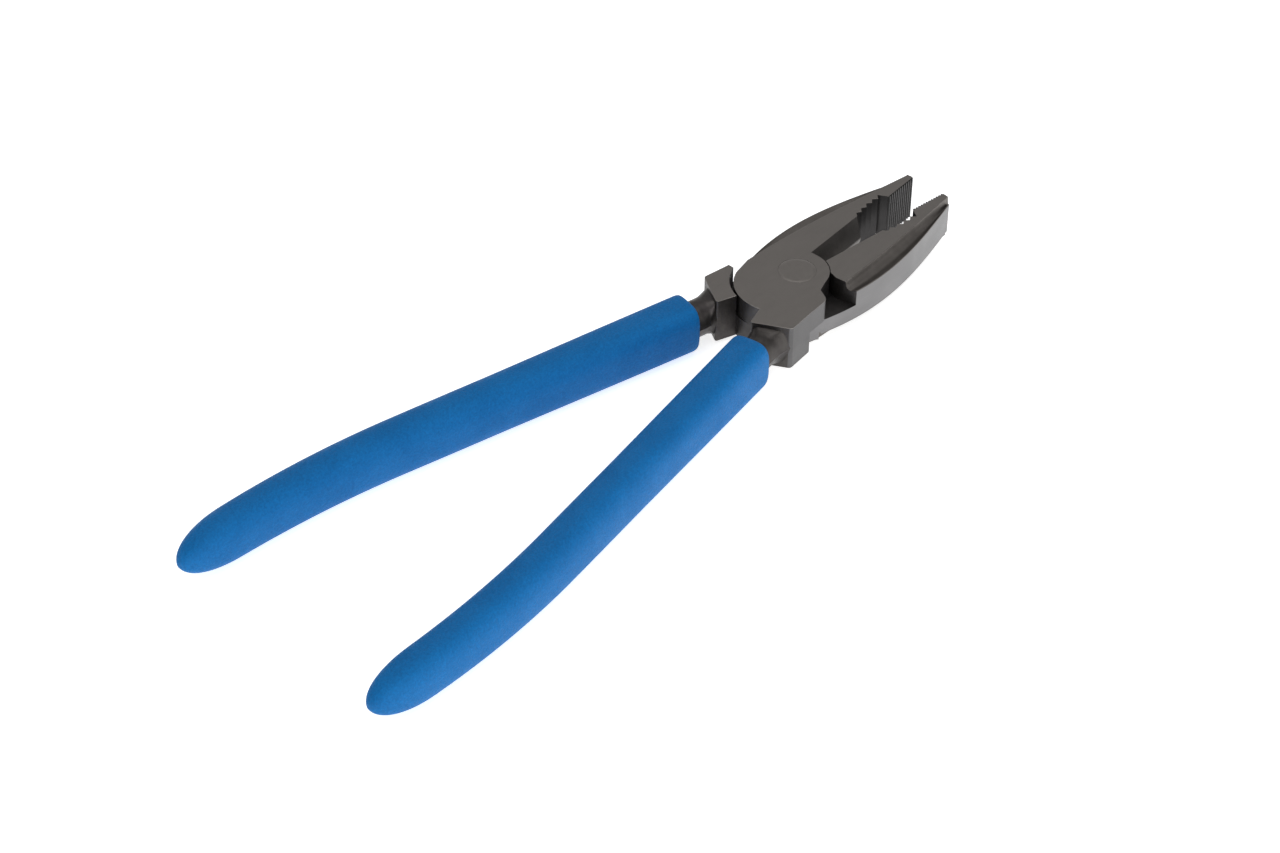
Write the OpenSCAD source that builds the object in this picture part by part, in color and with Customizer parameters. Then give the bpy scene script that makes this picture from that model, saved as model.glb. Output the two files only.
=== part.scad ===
/* [Overall] */
// Pivot centre to the tip of the closed jaws
jaw_len = 50.5; // [42:0.5:62]
// Pivot centre to the far end of the closed handles, along the tool
handle_len = 174.5; // [145:0.5:215]
// Thickness of the forged head, flat face to flat face
head_t = 12.4; // [10.3:0.1:15]
// Opening of each half from closed, at rest
rest_open = 5.3; // [0:0.1:12]

/* [Jaws] */
// Greatest half width of the closed head
jaw_half_w = 14; // [12:0.1:17]
// Height of the blunt jaw tip on one jaw
tip_h = 2.9; // [2.2:0.1:4]
// Half width of the flat ground face beside the pivot
face_half_w = 12.1; // [10:0.1:13]
// Height of the flat ground face at the tip
face_tip_h = 2.1; // [1.5:0.1:2.6]
// Depth of the flange edge below the ground face
flange_drop = 1.8; // [1:0.1:2.6]
// Greatest depth of the forged channel below the ground face
channel_d = 2.4; // [1.2:0.1:3.2]

/* [Cutter and grips of the jaws] */
// Where the cutter ends and the pipe grip starts
cutter_end = 27.6; // [24:0.1:31]
// Half width of the cutter bevel at the ground face
bevel_w = 1.7; // [1:0.1:2.5]
// Gap left between each cutting edge and the centre line when closed
edge_gap = 0.08; // [0.05:0.01:0.2]
// Length of the pipe grip along the jaw
pipe_len = 12; // [9:0.5:14]
// Number of coarse teeth in the pipe grip
pipe_teeth = 5; // [3:1:7]
// Depth of the coarse teeth
pipe_tooth_d = 0.85; // [0.4:0.05:1.2]
// Lift of the pipe grip's arch above its ends
pipe_arch = 0.55; // [0.2:0.05:1.5]
// Number of fine teeth at the tip
fine_teeth = 12; // [8:1:18]
// Depth of the fine teeth
fine_tooth_d = 0.35; // [0.15:0.05:0.6]

/* [Joint] */
// Radius of the lap disc on the jaw side, about the pivot
disc_r = 8.1; // [7.2:0.1:9]
// Radius of the lap disc on the handle side
back_r = 11.9; // [11:0.1:12.2]
// Distance of the handle-side arc's centre behind the pivot
back_x = 6.4; // [5.5:0.1:7.5]
// Running gap between a lap disc's edge and the wall that it nests in
nest_gap = 0.18; // [0.12:0.02:0.4]
// Gap between the two lap faces
lap_gap = 0.06; // [0.04:0.01:0.12]
// Radius of the rivet's shank
rivet_r = 4; // [3.2:0.1:4.6]
// Radius of the rivet's ground-flush head
rivet_head_r = 4.8; // [4.7:0.1:5.5]
// Depth of the countersink that a rivet head fills
rivet_head_d = 1.8; // [1:0.1:2.6]
// Running clearance of the turning half round the rivet, on the radius
rivet_gap = 0.05; // [0.02:0.01:0.1]

/* [Handle pads and tangs] */
// Width of the handle pad, from the centre line to its outer edge
pad_w = 12.9; // [12.6:0.1:14]
// How far the pad reaches behind the pivot at its inner edge
pad_len = 23.8; // [21:0.1:27]
// Distance of the pad's inner rear corner from the centre line
pad_in = 3.4; // [2.8:0.1:4]
// How much further forward the pad's outer rear corner stands than its inner one
pad_slant = 4.4; // [2:0.1:6]
// How far behind the pivot the shoulder stands that limits the opening
shoulder_x = 3.8; // [3:0.1:5]
// Where the jaw's wall beside the lap disc stands, in front of the pivot
jaw_wall_x = 5.4; // [5:0.1:6.5]
// Half thickness of the forged neck and tang
tang_half_t = 4.7; // [3.8:0.1:5.8]
// Half width of the neck, just behind the pad
neck_half_w = 4.9; // [4:0.1:5.8]
// How much the neck flares out on each side where it meets the pad
neck_flare = 1.4; // [0:0.1:2]
// Half width of the tang at its far end
tang_end_half_w = 3.4; // [2.6:0.1:4.2]

/* [Handle line] */
// Distance of the handle's centre from the tool's centre line, at the neck
neck_y = 6.9; // [6.5:0.1:8.5]
// Angle at which the closed handle leaves the head
handle_angle = 6; // [4:0.5:8]
// Distance behind the pivot at which the handle starts to bend back in
bend_x = 112; // [95:1:125]
// Radius of that bend
bend_r = 260; // [215:5:500]

/* [Dipped grips] */
// Where the dipped grip starts behind the pivot
grip_start = 29; // [27:0.5:36]
// Dip thickness at the tang's sides, at the front edge
dip_side0 = 0.8; // [0.6:0.05:2]
// Dip thickness at the tang's sides, at the middle
dip_side1 = 1.6; // [1.2:0.05:3]
// Dip thickness at the tang's sides, at the tang's end
dip_side2 = 1.5; // [1.2:0.05:2.5]
// Dip thickness above and below the tang, at the front edge
dip_top0 = 2.3; // [1.6:0.05:3.5]
// Dip thickness above and below the tang, at the middle
dip_top1 = 2.5; // [1.6:0.05:3.5]
// Dip thickness above and below the tang, at the tang's end
dip_top2 = 1.6; // [1.4:0.05:3]
// Length over which the grip's end rounds off
grip_round = 16; // [10:1:20]
// Dip material beyond the end of the tang
grip_tail = 6; // [4:0.5:10]

/* [Hidden] */
$fn = 96;
steel = "dimgray";
ground_steel = "slategray";
blue_dip = "steelblue";
over = 1;                        // how far a cut runs past a face
weld = 0.05;                     // how far an outline runs into the disc that it joins
mid_z = head_t / 2;
pipe_end = cutter_end + pipe_len;
pipe_y = bevel_w;                // height of the pipe grip's ends
fine_y = 0.12;                   // height of the fine teeth's crests
cutter_land = 0.3;               // half of the blunt land between the two bevels of a cutter
curve_steps = 24;
bore_r = rivet_r + rivet_gap;
neck_x = -20;                    // where the neck leaves the pad
tang_end_x = -(handle_len - grip_tail);
neck_flare_len = 7;              // length over which that flare runs out
ring_sides = 24;
grip_rings = 30;
grip_square = 2.5;               // squareness of the grip's section, 2 for an oval
lip_len = 1.6;                   // length over which the grip's front edge rounds off
back_corner_x = 4.25;            // how far behind the pivot the head's rear outer corner stands
back_corner_y = face_half_w + 0.5;
arc_start_x = 9.9;               // where the head's rear arc starts behind the pivot
pad_leave = 10;                  // angle at which the pad's inner edge leaves that arc
pad_mid_x = 12;                  // where the pad's outer side starts to run straight
pad_swell = 0.1;                 // how far the pad's outer rear corner stands beyond its width
pad_relief = 0.2;                // how far the pad's straight side stands inside its width
shoulder_back = 1.8;             // length of the shoulder's bevelled corner
shoulder_in = 0.6;               // depth of that corner
shoulder_run = 1.2;              // how far the shoulder's face leans forward
swing_x = 14;                    // how far behind the pivot the room for the other disc reaches
jaw_lean = [0.5, 2.2, 3.6];      // how far the jaw's wall leans forward at three heights

// ---- curves ----
function bez(p, t) = pow(1 - t, 3) * p[0] + 3 * t * pow(1 - t, 2) * p[1]
    + 3 * t * t * (1 - t) * p[2] + pow(t, 3) * p[3];
function mix(a, b, t) = a + (b - a) * t;

// outer edge of the ground face, and outer edge of the flange, from the joint to the tip
face_curve = [[-4.2, face_half_w], [16, face_half_w - 1.5], [38, 4.8], [jaw_len, face_tip_h]];
flange_curve = [[-3.2, jaw_half_w - 1], [17, jaw_half_w + 2.4], [jaw_len - 17.5, 9.8], [jaw_len, tip_h]];
function face_edge(t) = bez(face_curve, t);
function flange_edge(t) = bez(flange_curve, t);

// centre line of the closed upper handle: straight, then an arc that bends back in
straight_end = [-bend_x, neck_y + (bend_x + neck_x) * tan(handle_angle)];
bend_centre = straight_end + bend_r * [-sin(handle_angle), -cos(handle_angle)];
function line_y(x) = x > -bend_x ? neck_y + (neck_x - x) * tan(handle_angle)
    : bend_centre[1] + sqrt(bend_r * bend_r - pow(x - bend_centre[0], 2));
function line_slope(x) = (line_y(x + 0.5) - line_y(x - 0.5));
function line_side(x) = [-line_slope(x), 1] / norm([line_slope(x), 1]);

// three-point size law along the handle, u from 0 at the front to 1 at the back
function three(a, b, c, u) = a * (1 - u) * (1 - 2 * u) + 4 * b * u * (1 - u) + c * u * (2 * u - 1);

// ---- rings along the handle ----
function place(x, side, up) = [x + side * line_side(x)[0], line_y(x) + side * line_side(x)[1], mid_z + up];

// the forged tang has eight flats
function tang_u(x) = (x - neck_x) / (tang_end_x - neck_x);
function tang_w(x) = mix(neck_half_w, tang_end_half_w, pow(max(tang_u(x), 0), 0.7))
    + neck_flare * pow(max(0, 1 - (neck_x - x) / neck_flare_len), 2);
function tang_ring(x) = let (w = tang_w(x), h = tang_half_t, flat = 0.5, low = 0.33)
    [for (p = [[1, low], [flat, 1], [-flat, 1], [-1, low], [-1, -low], [-flat, -1], [flat, -1], [1, -low]])
        place(x, w * p[0], h * p[1])];
tang_x = concat([for (i = [0 : 4]) neck_x - i / 4 * neck_flare_len],
    [for (i = [1 : 18]) mix(neck_x - neck_flare_len, tang_end_x, i / 18)]);

// the dipped grip is a rounded oblong whose end closes in a blunt dome
grip_end_x = -handle_len;
function grip_u(x) = (x + grip_start) / (grip_end_x + grip_start);
function dome(x) = let (d = max(0, (grip_end_x + grip_round - x) / grip_round))
    pow(max(0, 1 - pow(min(d, 1), 2.6)), 1 / 2.4);
function lip(x) = let (d = min(1, (-grip_start - x) / lip_len)) 1 - 0.1 * pow(1 - d, 2);
function oblong(angle, n) = [sign(cos(angle)) * pow(abs(cos(angle)), 2 / n),
                             sign(sin(angle)) * pow(abs(sin(angle)), 2 / n)];
function grip_ring(x) = let (u = grip_u(x), s = dome(x) * lip(x),
        w = (tang_w(max(x, tang_end_x)) + three(dip_side0, dip_side1, dip_side2, u)) * s,
        h = (tang_half_t + three(dip_top0, dip_top1, dip_top2, u)) * s)
    [for (i = [0 : ring_sides - 1]) let (p = oblong((i + 0.5) * 360 / ring_sides, grip_square))
        place(x, w * p[0], h * p[1])];
grip_x = concat([for (d = [0, 0.3, 1]) -grip_start - d * lip_len],
    [for (i = [1 : grip_rings]) mix(-grip_start - lip_len, grip_end_x + grip_round, i / grip_rings)],
    [for (a = [15 : 15 : 75]) grip_end_x + grip_round * (1 - sin(a))],
    [grip_end_x + grip_round * 0.008]);

// closed skin over a list of rings with the same number of points
module skin(rings) {
    n = len(rings[0]);
    last = len(rings) - 1;
    sides = [for (r = [0 : last - 1], i = [0 : n - 1], k = [0, 1])
        k == 0 ? [r * n + i, r * n + (i + 1) % n, (r + 1) * n + i]
               : [r * n + (i + 1) % n, (r + 1) * n + (i + 1) % n, (r + 1) * n + i]];
    front = [[for (i = [n - 1 : -1 : 0]) i]];
    back = [[for (i = [0 : n - 1]) last * n + i]];
    polyhedron([for (ring = rings) for (p = ring) p], concat(sides, front, back), convexity = 6);
}

// ---- outline of one half, jaw on the +Y side and handle on the -Y side ----
function pipe_arch_y(u) = pipe_y - 0.1 + pipe_arch * sin(180 * u);
pipe_pitch = pipe_len / pipe_teeth;
fine_pitch = (jaw_len - pipe_end) / fine_teeth;
pipe_points = [for (i = [0 : pipe_teeth - 1], k = [0, 1])
    [cutter_end + (i + k / 2) * pipe_pitch, pipe_arch_y((i + k / 2) / pipe_teeth) + k * pipe_tooth_d]];
fine_points = [for (i = [0 : fine_teeth - 1], k = [0, 1])
    [pipe_end + (i + k / 2) * fine_pitch, fine_y + k * fine_tooth_d]];
outer_points = [for (i = [curve_steps : -1 : 1]) flange_edge((i - 0.5) / curve_steps)];

module outline() {
    polygon(concat(
        [[disc_r - weld, edge_gap], [cutter_end, edge_gap]],
        pipe_points,
        fine_points,
        [[jaw_len, fine_y], [jaw_len, tip_h]],
        outer_points,
        [[-back_corner_x, back_corner_y],
         [-arc_start_x, sqrt(back_r * back_r - pow(arc_start_x - back_x, 2)) - weld],
         [-back_x - back_r * cos(pad_leave), -back_r * sin(pad_leave)],
         [-pad_len, -pad_in],
         [-pad_len + pad_slant, -pad_w - pad_swell],
         [-pad_mid_x, -pad_w + pad_relief],
         [-shoulder_x - shoulder_back, -pad_w + pad_relief],
         [-shoulder_x, -pad_w + shoulder_in],
         [-shoulder_x + shoulder_run, -disc_r - 1],
         [1, -sqrt(disc_r * disc_r - 1)]]));
}

module half_plate() {
    linear_extrude(head_t) outline();
    cylinder(r = disc_r, h = head_t);
    intersection() {
        translate([-back_x, 0, 0]) cylinder(r = back_r, h = head_t);
        translate([-arc_start_x - back_r, -back_r, 0]) cube([back_r, 2 * back_r, head_t]);
    }
}

// room under a lap disc for the other half's disc, over its whole swing
module lap_room() {
    wall_r = disc_r + nest_gap;
    back_wall_r = back_r + nest_gap;
    nest_end = 66;               // angle at which the nest's rear wall ends
    nest_flare = 0.3;            // how far that wall opens out towards the pad's side
    beyond = 6;                  // how far the room runs past the head's side
    top = mid_z + lap_gap / 2;
    translate([0, 0, -over]) {
        cylinder(r = wall_r, h = top + over);
        translate([-back_x, 0, 0]) cylinder(r = back_wall_r, h = top + over);
        linear_extrude(top + over)
            polygon([[wall_r * cos(45), wall_r * sin(45)], [jaw_wall_x, wall_r],
                [jaw_wall_x + jaw_lean[0], face_half_w - 1.5], [jaw_wall_x + jaw_lean[1], jaw_half_w + 0.7],
                [jaw_wall_x + jaw_lean[2], jaw_half_w + beyond], [-swing_x, jaw_half_w + beyond],
                [-swing_x, disc_r], [-back_x, 0],
                [-back_x - back_wall_r * cos(nest_end), -back_wall_r * sin(nest_end)],
                [-back_x - back_wall_r * cos(nest_end) - nest_flare, -pad_w - over],
                [disc_r + over, -pad_w - over], [disc_r, 0]]);
    }
}

// forged channel between the ground face and the flange, on the top face
module channel() {
    // share of the way from face edge to flange edge, and depth
    section = [[1.9, -over], [1.9, flange_drop - 0.7], [1.22, mix(channel_d, flange_drop, 1.4)],
        [0.78, mix(channel_d, flange_drop, 0.45)], [0.5, channel_d], [0.26, 0.88 * channel_d],
        [0.09, 0.58 * channel_d], [0, -over]];
    rings = [for (i = [0 : curve_steps]) let (t = i / curve_steps,
            run = i == curve_steps ? over : 0, f = face_edge(t), g = flange_edge(t))
        [for (s = section) let (p = mix(f, g, s[0])) [p[0] + run, p[1], head_t - s[1]]]];
    skin(rings);
}

// wedge between a ground face and the cutting edge, on the top face
module cutter_bevel() {
    rise = mid_z - cutter_land;
    translate([disc_r, 0, head_t])
        rotate([90, 0, 90])
        linear_extrude(cutter_end - disc_r)
        polygon([[edge_gap - over, over], [bevel_w + over * bevel_w / rise, over],
            [bevel_w, 0], [edge_gap, -rise], [edge_gap - over, -rise]]);
}

module on_both_faces() {
    children();
    translate([0, 0, head_t]) mirror([0, 0, 1]) children();
}

module rivet_hole(r, head_r) {
    translate([0, 0, -over]) cylinder(r = r, h = head_t + 2 * over);
    translate([0, 0, head_t - rivet_head_d]) cylinder(r1 = r, r2 = head_r, h = rivet_head_d);
    translate([0, 0, head_t - 0.001]) cylinder(r = head_r, h = over);
}

// one forged half in the closed position: lap disc on top, jaw at +Y, handle at -Y
module forged_half(hole_r, head_r) {
    difference() {
        union() {
            difference() {
                half_plate();
                lap_room();
                on_both_faces() channel();
                on_both_faces() cutter_bevel();
            }
            mirror([0, 1, 0]) skin([for (x = tang_x) tang_ring(x)]);
        }
        rivet_hole(hole_r, head_r);
    }
}

module dipped_grip() {
    difference() {
        skin([for (x = grip_x) grip_ring(x)]);
        skin([for (x = tang_x) tang_ring(x)]);
    }
}

// turns the closed half over for the underside half
module turned_over() {
    translate([0, 0, head_t]) rotate([180, 0, 0]) children();
}

module half_a() {
    color(steel) rotate([0, 0, rest_open]) forged_half(rivet_r, rivet_head_r);
}

module half_b() {
    color(steel) rotate([0, 0, -rest_open]) turned_over()
        forged_half(bore_r, rivet_head_r + rivet_gap);
}

module rivet() {
    color(ground_steel) {
        cylinder(r = rivet_r, h = head_t);
        translate([0, 0, head_t - rivet_head_d]) cylinder(r1 = rivet_r, r2 = rivet_head_r, h = rivet_head_d);
        cylinder(r1 = rivet_head_r, r2 = rivet_r, h = rivet_head_d);
    }
}

module grip_a() {
    color(blue_dip) rotate([0, 0, rest_open]) mirror([0, 1, 0]) dipped_grip();
}

module grip_b() {
    color(blue_dip) rotate([0, 0, -rest_open]) turned_over() mirror([0, 1, 0]) dipped_grip();
}

half_a();
half_b();
rivet();
grip_a();
grip_b();
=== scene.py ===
import math

import bmesh
import bpy
import numpy as np
from mathutils import Matrix, Vector, noise


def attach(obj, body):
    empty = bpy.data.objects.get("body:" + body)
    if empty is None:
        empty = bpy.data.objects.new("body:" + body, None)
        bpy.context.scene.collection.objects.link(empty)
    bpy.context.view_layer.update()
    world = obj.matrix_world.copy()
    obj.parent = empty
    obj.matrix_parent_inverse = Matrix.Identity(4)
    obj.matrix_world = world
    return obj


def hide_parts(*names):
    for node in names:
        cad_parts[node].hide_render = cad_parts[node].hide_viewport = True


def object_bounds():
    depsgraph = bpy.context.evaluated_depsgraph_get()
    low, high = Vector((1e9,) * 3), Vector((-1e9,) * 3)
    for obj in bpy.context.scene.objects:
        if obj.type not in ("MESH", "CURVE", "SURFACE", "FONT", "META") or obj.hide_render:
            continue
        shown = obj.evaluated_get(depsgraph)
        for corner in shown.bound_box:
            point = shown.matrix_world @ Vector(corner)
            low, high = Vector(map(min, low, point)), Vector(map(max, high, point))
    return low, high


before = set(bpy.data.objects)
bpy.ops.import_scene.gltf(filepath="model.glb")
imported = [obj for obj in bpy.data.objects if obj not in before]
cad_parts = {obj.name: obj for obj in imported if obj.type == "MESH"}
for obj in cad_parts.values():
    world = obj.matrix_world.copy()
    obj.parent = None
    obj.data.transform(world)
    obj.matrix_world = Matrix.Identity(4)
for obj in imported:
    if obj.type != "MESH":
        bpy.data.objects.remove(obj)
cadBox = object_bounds()
scene = bpy.context.scene
print("frame loaded")

mm = 0.001


def plug(tree, node, sockets):
    # each socket gets a value, or a link when the value is another node's output
    for key, value in sockets.items():
        if isinstance(value, bpy.types.NodeSocket):
            tree.links.new(value, node.inputs[key])
        else:
            node.inputs[key].default_value = value


def addNode(tree, kind, sockets=None, **values):
    node = tree.nodes.new(kind)
    for key, value in values.items():
        setattr(node, key, value)
    plug(tree, node, sockets or {})
    return node


def newGroup(name, inputs, outputs, kind="ShaderNodeTree"):
    tree = bpy.data.node_groups.new(name, kind)
    for socketName, socketType, default in inputs:
        socket = tree.interface.new_socket(socketName, in_out="INPUT", socket_type=socketType)
        if default is not None:
            socket.default_value = default
    for socketName, socketType in outputs:
        tree.interface.new_socket(socketName, in_out="OUTPUT", socket_type=socketType)
    return tree, addNode(tree, "NodeGroupInput"), addNode(tree, "NodeGroupOutput")


def mathNode(tree, operation, first, second=None):
    sockets = {0: first} if second is None else {0: first, 1: second}
    return addNode(tree, "ShaderNodeMath", sockets, operation=operation).outputs[0]


def mixColor(tree, share, first, second, blend="MIX"):
    sockets = {0: share, 6: first, 7: second}  # the places of the colour version's sockets
    return addNode(tree, "ShaderNodeMix", sockets, data_type="RGBA", blend_type=blend).outputs[2]


def buildGrainGroup():
    # long scratches one way, plus a fine speckle; the stretch vector sets their direction
    tree, groupIn, groupOut = newGroup(
        "grindGrain",
        [("Vector", "NodeSocketVector", None), ("Stretch", "NodeSocketVector", (100, 100, 100)),
         ("Speckle Scale", "NodeSocketFloat", 5000.0), ("Contrast", "NodeSocketFloat", 0.5)],
        [("Shade", "NodeSocketFloat"), ("Height", "NodeSocketFloat")])
    take = groupIn.outputs
    scaled = addNode(tree, "ShaderNodeVectorMath", {0: take["Vector"], 1: take["Stretch"]},
                     operation="MULTIPLY")
    lines = addNode(tree, "ShaderNodeTexNoise", {"Vector": scaled.outputs[0], "Scale": 1.0,
                                                 "Detail": 5.0, "Roughness": 0.7})
    speckle = addNode(tree, "ShaderNodeTexNoise", {"Vector": take["Vector"], "Detail": 2.0,
                                                   "Scale": take["Speckle Scale"]})
    centred = mathNode(tree, "SUBTRACT", lines.outputs["Fac"], 0.5)
    shade = mathNode(tree, "MULTIPLY", centred, take["Contrast"])
    fine = mathNode(tree, "MULTIPLY", mathNode(tree, "SUBTRACT", speckle.outputs["Fac"], 0.5), 0.25)
    fineShade = mathNode(tree, "MULTIPLY", fine, take["Contrast"])
    both = mathNode(tree, "ADD", shade, fineShade)
    plug(tree, groupOut, {"Shade": mathNode(tree, "ADD", both, 1.0),
                          "Height": mathNode(tree, "ADD", lines.outputs["Fac"], fine)})
    return tree


def noiseMask(tree, texture, low, high, *factors):
    # noise between two levels as a mask, times the factors
    cloud = addNode(tree, "ShaderNodeTexNoise", texture)
    mask = addNode(tree, "ShaderNodeMapRange", {"Value": cloud.outputs["Fac"], "From Min": low,
                                                "From Max": high}).outputs["Result"]
    for factor in factors:
        mask = mathNode(tree, "MULTIPLY", mask, factor)
    return mask


def buildEdgeGroup():
    # bare bright metal where the edge mask is set, broken up by noise
    tree, groupIn, groupOut = newGroup(
        "edgeWear",
        [("Vector", "NodeSocketVector", None), ("Color", "NodeSocketColor", (0.2, 0.2, 0.2, 1)),
         ("Worn Color", "NodeSocketColor", (0.6, 0.6, 0.6, 1)), ("Edge", "NodeSocketFloat", 0.0),
         ("Breakup Scale", "NodeSocketFloat", 700.0), ("Amount", "NodeSocketFloat", 0.6)],
        [("Color", "NodeSocketColor"), ("Mask", "NodeSocketFloat")])
    take = groupIn.outputs
    texture = {"Vector": take["Vector"], "Scale": take["Breakup Scale"], "Detail": 4.0}
    mask = noiseMask(tree, texture, 0.35, 0.62, take["Edge"], take["Amount"])
    plug(tree, groupOut, {"Color": mixColor(tree, mask, take["Color"], take["Worn Color"]), "Mask": mask})
    return tree


def buildTarnishGroup():
    # slow patches of a second colour, as an oiled or heat-tinted surface has
    tree, groupIn, groupOut = newGroup(
        "tarnish",
        [("Vector", "NodeSocketVector", None), ("Color", "NodeSocketColor", (0.2, 0.2, 0.2, 1)),
         ("Patch Color", "NodeSocketColor", (0.1, 0.1, 0.1, 1)), ("Scale", "NodeSocketFloat", 150.0),
         ("Amount", "NodeSocketFloat", 0.5)],
        [("Color", "NodeSocketColor"), ("Patch", "NodeSocketFloat")])
    take = groupIn.outputs
    texture = {"Vector": take["Vector"], "Scale": take["Scale"], "Detail": 3.0, "Distortion": 0.6}
    share = noiseMask(tree, texture, 0.38, 0.66, take["Amount"])
    plug(tree, groupOut, {"Color": mixColor(tree, share, take["Color"], take["Patch Color"]),
                          "Patch": share})
    return tree


grainGroup = buildGrainGroup()
edgeGroup = buildEdgeGroup()
tarnishGroup = buildTarnishGroup()


def placeGroup(tree, group, **values):
    sockets = {name.replace("_", " "): value for name, value in values.items()}
    return addNode(tree, "ShaderNodeGroup", sockets, node_tree=group)


def newFinish(name):
    material = bpy.data.materials.new(name)
    material.use_nodes = True
    tree = material.node_tree
    where = addNode(tree, "ShaderNodeTexCoord").outputs["Object"]
    return material, tree, tree.nodes["Principled BSDF"], where


def bumpNormal(tree, height, strength, distance):
    sockets = {"Height": height, "Strength": strength, "Distance": distance}
    return addNode(tree, "ShaderNodeBump", sockets).outputs["Normal"]


steelLook = {
    "bare": (0.62, 0.61, 0.60, 1),  # colour of the worn edges
    "grainRough": 0.25,
    "patchRough": 0.12,
    "grainDepth": 0.0001,
}


def steelFinish(name, color, patch, rough, stretch, grain, bump,
                patchScale=140.0, patchAmount=0.5, wear=0.6):
    material, tree, shader, where = newFinish(name)
    tarnish = placeGroup(tree, tarnishGroup, Vector=where, Color=(*color, 1), Patch_Color=(*patch, 1),
                         Scale=patchScale, Amount=patchAmount)
    marks = placeGroup(tree, grainGroup, Vector=where, Stretch=stretch, Contrast=grain)
    shaded = mixColor(tree, 1.0, tarnish.outputs["Color"], marks.outputs["Shade"], "MULTIPLY")
    edge = addNode(tree, "ShaderNodeAttribute", attribute_name="edgeWear").outputs["Fac"]
    worn = placeGroup(tree, edgeGroup, Vector=where, Color=shaded, Edge=edge,
                      Worn_Color=steelLook["bare"], Amount=wear)
    centred = mathNode(tree, "SUBTRACT", marks.outputs["Height"], 0.5)
    grained = mathNode(tree, "MULTIPLY", centred, steelLook["grainRough"])
    patched = mathNode(tree, "MULTIPLY", tarnish.outputs["Patch"], steelLook["patchRough"])
    uneven = mathNode(tree, "ADD", grained, patched)
    plug(tree, shader, {"Metallic": 1.0, "Base Color": worn.outputs["Color"],
                        "Roughness": mathNode(tree, "ADD", uneven, rough),
                        "Normal": bumpNormal(tree, marks.outputs["Height"], bump, steelLook["grainDepth"])})
    return material


steel = {
    "ground": steelFinish("groundSteel", (0.228, 0.211, 0.198), (0.202, 0.187, 0.175), 0.40,
                          (90, 2600, 400), 0.16, 0.10, wear=0.08),
    "side": steelFinish("brushedSteel", (0.208, 0.204, 0.205), (0.164, 0.161, 0.162), 0.33,
                        (70, 70, 5200), 0.42, 0.22, patchScale=60.0),
    "pad": steelFinish("padSteel", (0.122, 0.119, 0.119), (0.094, 0.092, 0.092), 0.36,
                       (120, 120, 3200), 0.42, 0.25, patchScale=90.0, wear=0.1),
    "channel": steelFinish("channelSteel", (0.155, 0.143, 0.133), (0.105, 0.095, 0.088), 0.47,
                           (260, 260, 900), 0.30, 0.35, wear=0.1),
    "cutter": steelFinish("cutterSteel", (0.165, 0.154, 0.146), (0.125, 0.116, 0.110), 0.38,
                          (3800, 160, 160), 0.30, 0.20),
    # the teeth's steel is darker than the jaw's: partly its own tone, partly painted shade of the tooth
    # valleys
    "tooth": steelFinish("toothSteelWithPaintedShade", (0.064, 0.062, 0.062), (0.042, 0.041, 0.041), 0.36,
                         (2600, 260, 120), 0.50, 0.30),
    "lap": steelFinish("lapSteel", (0.088, 0.083, 0.081), (0.055, 0.051, 0.050), 0.40,
                       (300, 300, 1800), 0.35, 0.20, wear=0.1),
    "neck": steelFinish("forgedSteel", (0.080, 0.074, 0.070), (0.050, 0.043, 0.046), 0.42,
                        (700, 700, 700), 0.45, 0.6, patchScale=240.0, patchAmount=0.45, wear=0.1),
    "rivet": steelFinish("rivetSteel", (0.231, 0.214, 0.200), (0.202, 0.187, 0.175), 0.40,
                         (900, 900, 900), 0.14, 0.10, wear=0.0),
}
finishOrder = ["ground", "side", "pad", "channel", "cutter", "tooth", "lap", "neck", "edge"]
finishIndex = {name: i for i, name in enumerate(finishOrder)}


dipLook = {
    "color": (0.002, 0.135, 0.388),
    "patch": (0.001, 0.113, 0.336),
    "patchScale": 95.0,
    "patchAmount": 0.55,
    "patchRough": 0.10,
    "rough": 0.52,
    "specular": 0.14,
    "peelScale": 1800.0,  # fine orange-peel texture of the dip
    "peelSpeckle": 9000.0,
    "peelShade": 1.0,
    "peelStrength": 0.55,
    "peelDepth": 0.0003,
}


def dipFinish():
    material, tree, shader, where = newFinish("blueDip")
    tint = placeGroup(tree, tarnishGroup, Vector=where, Color=(*dipLook["color"], 1),
                      Patch_Color=(*dipLook["patch"], 1), Scale=dipLook["patchScale"],
                      Amount=dipLook["patchAmount"])
    peel = placeGroup(tree, grainGroup, Vector=where, Stretch=(dipLook["peelScale"],) * 3,
                      Speckle_Scale=dipLook["peelSpeckle"], Contrast=dipLook["peelShade"])
    rubbed = mathNode(tree, "MULTIPLY", tint.outputs["Patch"], dipLook["patchRough"])
    plug(tree, shader, {
        "IOR": 1.5, "Specular IOR Level": dipLook["specular"],
        "Base Color": mixColor(tree, 1.0, tint.outputs["Color"], peel.outputs["Shade"], "MULTIPLY"),
        "Roughness": mathNode(tree, "ADD", rubbed, dipLook["rough"]),
        "Normal": bumpNormal(tree, peel.outputs["Height"], dipLook["peelStrength"], dipLook["peelDepth"])})
    return material


blueDip = dipFinish()
print("finishes made")


restOpen = 5.3  # degrees that each half stands open at rest

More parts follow.
